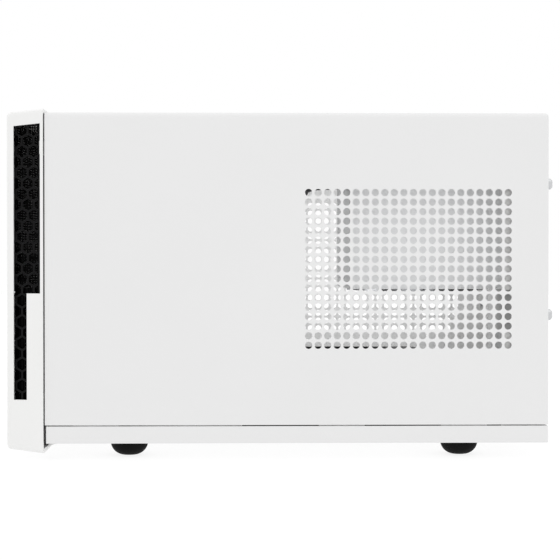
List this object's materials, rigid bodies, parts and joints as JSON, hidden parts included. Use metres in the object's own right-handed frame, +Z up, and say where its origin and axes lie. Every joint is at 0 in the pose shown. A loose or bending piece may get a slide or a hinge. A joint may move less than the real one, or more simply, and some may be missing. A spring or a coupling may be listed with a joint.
{
  "type": "desktop computer tower",
  "caption": "Compact white desktop computer with a slide-off perforated cover, a pull-off honeycomb front, working buttons, spinning fans and its inner parts in place.",
  "frame": {"origin": "on the floor under the middle of the case, at the bottom centre of its box", "axes": "+Z up, the front faces -Y, +X is the right-hand side seen from the front"},
  "size_m": [0.222, 0.285, 0.1822],
  "materials": {
    "white_steel": "fine white powder coat",
    "white_plastic": "satin moulded ABS",
    "black_plastic": "matt moulded plastic",
    "filter_mesh": "fine woven filter",
    "rubber": "matt rubber",
    "pale_steel": "zinc plated steel sheet",
    "bright_steel": "nickel plated steel",
    "circuit_board": "solder mask on glass fibre laminate",
    "aluminium": "extruded",
    "clear_lens": "clear moulded plastic",
    "cable_sleeve": "braided sleeve"
  },
  "bodies": {
    "chassis": {"audio_ports": "black_plastic", "base_pan": "white_steel", "card_slot": "black_plastic", "cooler_fan_frame": "black_plastic", "cooler_heatsink": "aluminium", "drive_bracket": "white_steel", "drive_cable": "cable_sleeve", "foot_front_left": "rubber", "foot_front_right": "rubber", "foot_rear_left": "rubber", "foot_rear_right": "rubber", "front_circuit": "circuit_board", "front_fan_frame": "black_plastic", "front_panel_cable": "cable_sleeve", "front_usb_lower": "bright_steel", "front_usb_upper": "bright_steel", "front_wall": "white_steel", "headphone_jack": "black_plastic", "main_board": "circuit_board", "mains_inlet": "black_plastic", "memory_module_front": "circuit_board", "memory_module_rear": "circuit_board", "memory_sockets": "black_plastic", "microphone_jack": "black_plastic", "network_port": "bright_steel", "port_shield": "pale_steel", "power_cable": "cable_sleeve", "power_plug": "black_plastic", "power_socket": "black_plastic", "power_switch": "black_plastic", "processor": "pale_steel", "rear_wall": "white_steel", "reset_switch": "black_plastic", "side_rail_left": "white_steel", "side_rail_right": "white_steel", "slot_cover_inner": "white_steel", "slot_cover_outer": "white_steel", "solid_state_drive": "pale_steel", "supply_case": "pale_steel", "supply_fan_frame": "black_plastic", "supply_fan_guard": "bright_steel", "supply_plate": "white_steel", "usb_stack": "bright_steel", "video_ports": "bright_steel"},
    "cover": {"top_cover": "white_steel"},
    "bezel": {"front_bezel": "white_plastic", "honeycomb_grille": "black_plastic", "dust_filter": "filter_mesh", "power_lens": "clear_lens", "drive_lens": "clear_lens"},
    "power_button": {"power_button": "white_plastic"},
    "reset_button": {"reset_button": "white_plastic"},
    "front_fan": {"front_fan_rotor": "black_plastic"},
    "cooler_fan": {"cooler_fan_rotor": "black_plastic"},
    "supply_fan": {"supply_fan_rotor": "black_plastic"},
    "supply_switch": {"supply_switch": "black_plastic"},
    "cover_screw_lower_right": {"cover_screw_lower_right": "bright_steel"},
    "cover_screw_upper_right": {"cover_screw_upper_right": "bright_steel"},
    "cover_screw_lower_left": {"cover_screw_lower_left": "bright_steel"},
    "cover_screw_upper_left": {"cover_screw_upper_left": "bright_steel"}
  },
  "joints": [
    {"name": "cover_slide", "type": "slide", "parent": "chassis", "child": "cover", "axis": [0, 1, 0], "range_m": [0, 0.3]},
    {"name": "bezel_pull", "type": "slide", "parent": "chassis", "child": "bezel", "axis": [0, -1, 0], "range_m": [0, 0.06]},
    {"name": "power_button_press", "type": "slide", "parent": "bezel", "child": "power_button", "axis": [0, 1, 0], "range_m": [0, 0.0015], "stiffness_N_per_m": 300, "springref_m": -0.001},
    {"name": "reset_button_press", "type": "slide", "parent": "bezel", "child": "reset_button", "axis": [0, 1, 0], "range_m": [0, 0.001], "stiffness_N_per_m": 300, "springref_m": -0.001},
    {"name": "front_fan_spin", "type": "hinge", "parent": "chassis", "child": "front_fan", "pos_m": [-0.008, -0.107, 0.095], "axis": [0, -1, 0], "continuous": true},
    {"name": "cooler_fan_spin", "type": "hinge", "parent": "chassis", "child": "cooler_fan", "pos_m": [0.02, 0.037, 0.0557], "axis": [0, 0, 1], "continuous": true},
    {"name": "supply_fan_spin", "type": "hinge", "parent": "chassis", "child": "supply_fan", "pos_m": [0.0115, 0.0806, 0.0965], "axis": [0, 0, 1], "continuous": true},
    {"name": "supply_switch_rock", "type": "hinge", "parent": "chassis", "child": "supply_switch", "pos_m": [0.028, 0.138, 0.1153], "axis": [1, 0, 0], "range_deg": [-14, 0]},
    {"name": "cover_screw_lower_right_turn", "type": "hinge", "parent": "cover", "child": "cover_screw_lower_right", "pos_m": [0.1048, 0.1425, 0.075], "axis": [0, 1, 0], "continuous": true},
    {"name": "cover_screw_upper_right_turn", "type": "hinge", "parent": "cover", "child": "cover_screw_upper_right", "pos_m": [0.1048, 0.1425, 0.1435], "axis": [0, 1, 0], "continuous": true},
    {"name": "cover_screw_lower_left_turn", "type": "hinge", "parent": "cover", "child": "cover_screw_lower_left", "pos_m": [-0.1048, 0.1425, 0.075], "axis": [0, 1, 0], "continuous": true},
    {"name": "cover_screw_upper_left_turn", "type": "hinge", "parent": "cover", "child": "cover_screw_upper_left", "pos_m": [-0.1048, 0.1425, 0.1435], "axis": [0, 1, 0], "continuous": true}
  ]
}
